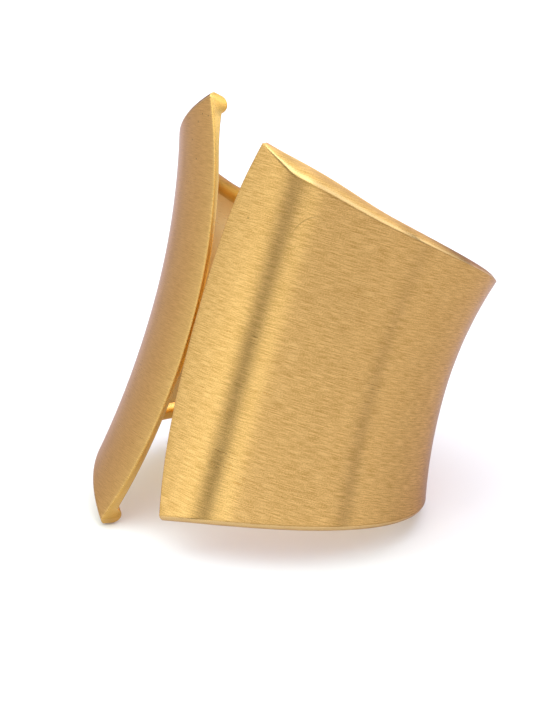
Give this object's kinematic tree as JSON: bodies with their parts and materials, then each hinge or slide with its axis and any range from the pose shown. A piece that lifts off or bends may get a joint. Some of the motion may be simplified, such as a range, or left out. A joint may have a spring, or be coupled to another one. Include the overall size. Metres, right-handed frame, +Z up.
{
  "type": "cuff bracelet",
  "caption": "Wide waisted cuff bracelet: one tall band of brushed gold-coloured metal, tapering to the back, with rounded beaded rims and bowed ends that nearly meet.",
  "frame": {"origin": "Centre of the bounding box's base, on the surface that the band stands on.", "axes": "Z is up. The opening between the two ends faces -Y, the narrow back of the band faces +Y, and the ring's axis leans about 20 degrees from Z towards +Y."},
  "size_m": [0.0626, 0.0668, 0.0689],
  "materials": {
    "brushed_gold": "satin brushed along the band, gold-coloured"
  },
  "bodies": {
    "root": {"cuff_band": "brushed_gold"}
  },
  "joints": []
}
